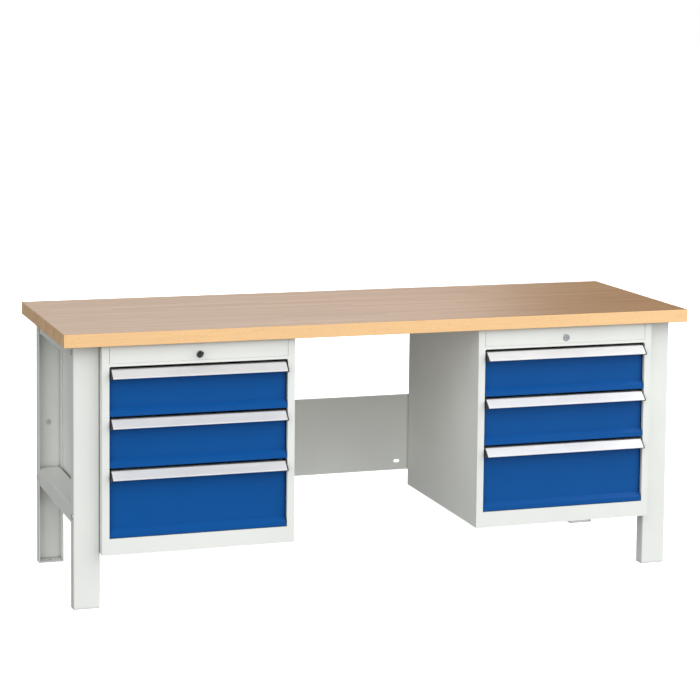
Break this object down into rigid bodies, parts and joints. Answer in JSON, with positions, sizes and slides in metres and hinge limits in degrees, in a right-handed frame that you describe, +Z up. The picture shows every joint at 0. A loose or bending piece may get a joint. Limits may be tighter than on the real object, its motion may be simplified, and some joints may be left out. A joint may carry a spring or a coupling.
{
  "type": "workbench",
  "caption": "Workbench with a thick beech worktop on grey channel legs and two lockable cabinets of blue drawers with full-width aluminium handle strips.",
  "frame": {"origin": "on the floor, below the middle of the worktop", "axes": "+X along the bench to the right as seen from the front, -Y out of the drawer fronts, +Z up"},
  "size_m": [2, 0.7, 0.83],
  "materials": {
    "beech": "clear oiled beech multiplex",
    "grey_paint": "light grey powder coat",
    "blue_paint": "gentian blue powder coat",
    "aluminium": "matt anodised",
    "black_plastic": "fine texture",
    "zinc_steel": "bright zinc plated",
    "lock_chrome": "polished"
  },
  "bodies": {
    "bench": {"worktop": "beech", "leg_front_left": "grey_paint", "leg_rear_left": "grey_paint", "top_crossmember_left": "grey_paint", "stretcher_left": "grey_paint", "leg_front_right": "grey_paint", "leg_rear_right": "grey_paint", "top_crossmember_right": "grey_paint", "stretcher_right": "grey_paint", "rear_panel": "grey_paint", "foot_plates": "grey_paint", "frame_bolts": "zinc_steel", "worktop_screws": "zinc_steel", "cabinet_shell_left": "grey_paint", "front_frame_left": "grey_paint", "lock_fascia_left": "grey_paint", "cabinet_base_left": "grey_paint", "cabinet_rails_left": "zinc_steel", "lock_body_left": "lock_chrome", "cabinet_shell_right": "grey_paint", "front_frame_right": "grey_paint", "lock_fascia_right": "grey_paint", "cabinet_base_right": "grey_paint", "cabinet_rails_right": "zinc_steel", "lock_body_right": "lock_chrome"},
    "lock_left": {"lock_plug_left": "lock_chrome", "key": "black_plastic"},
    "bar_left": {"lock_bar_left": "zinc_steel"},
    "drawer_left_1": {"drawer_left_1_front": "blue_paint", "drawer_left_1_tray": "grey_paint", "drawer_left_1_handle": "aluminium", "drawer_left_1_caps": "black_plastic"},
    "carriage_left_1": {"drawer_left_1_carriage": "zinc_steel"},
    "drawer_left_2": {"drawer_left_2_front": "blue_paint", "drawer_left_2_tray": "grey_paint", "drawer_left_2_handle": "aluminium", "drawer_left_2_caps": "black_plastic"},
    "carriage_left_2": {"drawer_left_2_carriage": "zinc_steel"},
    "drawer_left_3": {"drawer_left_3_front": "blue_paint", "drawer_left_3_tray": "grey_paint", "drawer_left_3_handle": "aluminium", "drawer_left_3_caps": "black_plastic"},
    "carriage_left_3": {"drawer_left_3_carriage": "zinc_steel"},
    "lock_right": {"lock_plug_right": "lock_chrome"},
    "bar_right": {"lock_bar_right": "zinc_steel"},
    "drawer_right_1": {"drawer_right_1_front": "blue_paint", "drawer_right_1_tray": "grey_paint", "drawer_right_1_handle": "aluminium", "drawer_right_1_caps": "black_plastic"},
    "carriage_right_1": {"drawer_right_1_carriage": "zinc_steel"},
    "drawer_right_2": {"drawer_right_2_front": "blue_paint", "drawer_right_2_tray": "grey_paint", "drawer_right_2_handle": "aluminium", "drawer_right_2_caps": "black_plastic"},
    "carriage_right_2": {"drawer_right_2_carriage": "zinc_steel"},
    "drawer_right_3": {"drawer_right_3_front": "blue_paint", "drawer_right_3_tray": "grey_paint", "drawer_right_3_handle": "aluminium", "drawer_right_3_caps": "black_plastic"},
    "carriage_right_3": {"drawer_right_3_carriage": "zinc_steel"}
  },
  "joints": [
    {"name": "lock_left_turn", "type": "hinge", "parent": "bench", "child": "lock_left", "pos_m": [-0.59, -0.328, 0.753], "axis": [0, 1, 0], "range_deg": [0, 90]},
    {"name": "bar_left_drop", "type": "slide", "parent": "bench", "child": "bar_left", "axis": [0, 0, -1], "range_m": [0, 0.0099]},
    {"name": "drawer_left_1_slide", "type": "slide", "parent": "bench", "child": "drawer_left_1", "axis": [0, -1, 0], "range_m": [0, 0.54]},
    {"name": "carriage_left_1_slide", "type": "slide", "parent": "bench", "child": "carriage_left_1", "axis": [0, -1, 0], "range_m": [0, 0.27]},
    {"name": "drawer_left_2_slide", "type": "slide", "parent": "bench", "child": "drawer_left_2", "axis": [0, -1, 0], "range_m": [0, 0.54]},
    {"name": "carriage_left_2_slide", "type": "slide", "parent": "bench", "child": "carriage_left_2", "axis": [0, -1, 0], "range_m": [0, 0.27]},
    {"name": "drawer_left_3_slide", "type": "slide", "parent": "bench", "child": "drawer_left_3", "axis": [0, -1, 0], "range_m": [0, 0.54]},
    {"name": "carriage_left_3_slide", "type": "slide", "parent": "bench", "child": "carriage_left_3", "axis": [0, -1, 0], "range_m": [0, 0.27]},
    {"name": "lock_right_turn", "type": "hinge", "parent": "bench", "child": "lock_right", "pos_m": [0.59, -0.328, 0.753], "axis": [0, 1, 0], "range_deg": [0, 90]},
    {"name": "bar_right_drop", "type": "slide", "parent": "bench", "child": "bar_right", "axis": [0, 0, -1], "range_m": [0, 0.0099]},
    {"name": "drawer_right_1_slide", "type": "slide", "parent": "bench", "child": "drawer_right_1", "axis": [0, -1, 0], "range_m": [0, 0.54]},
    {"name": "carriage_right_1_slide", "type": "slide", "parent": "bench", "child": "carriage_right_1", "axis": [0, -1, 0], "range_m": [0, 0.27]},
    {"name": "drawer_right_2_slide", "type": "slide", "parent": "bench", "child": "drawer_right_2", "axis": [0, -1, 0], "range_m": [0, 0.54]},
    {"name": "carriage_right_2_slide", "type": "slide", "parent": "bench", "child": "carriage_right_2", "axis": [0, -1, 0], "range_m": [0, 0.27]},
    {"name": "drawer_right_3_slide", "type": "slide", "parent": "bench", "child": "drawer_right_3", "axis": [0, -1, 0], "range_m": [0, 0.54]},
    {"name": "carriage_right_3_slide", "type": "slide", "parent": "bench", "child": "carriage_right_3", "axis": [0, -1, 0], "range_m": [0, 0.27]}
  ],
  "couplings": [
    {"joint": "bar_left_drop", "follows": "lock_left_turn", "m_per_rad": 0.0063},
    {"joint": "carriage_left_1_slide", "follows": "drawer_left_1_slide", "ratio": 0.5},
    {"joint": "carriage_left_2_slide", "follows": "drawer_left_2_slide", "ratio": 0.5},
    {"joint": "carriage_left_3_slide", "follows": "drawer_left_3_slide", "ratio": 0.5},
    {"joint": "bar_right_drop", "follows": "lock_right_turn", "m_per_rad": 0.0063},
    {"joint": "carriage_right_1_slide", "follows": "drawer_right_1_slide", "ratio": 0.5},
    {"joint": "carriage_right_2_slide", "follows": "drawer_right_2_slide", "ratio": 0.5},
    {"joint": "carriage_right_3_slide", "follows": "drawer_right_3_slide", "ratio": 0.5}
  ]
}
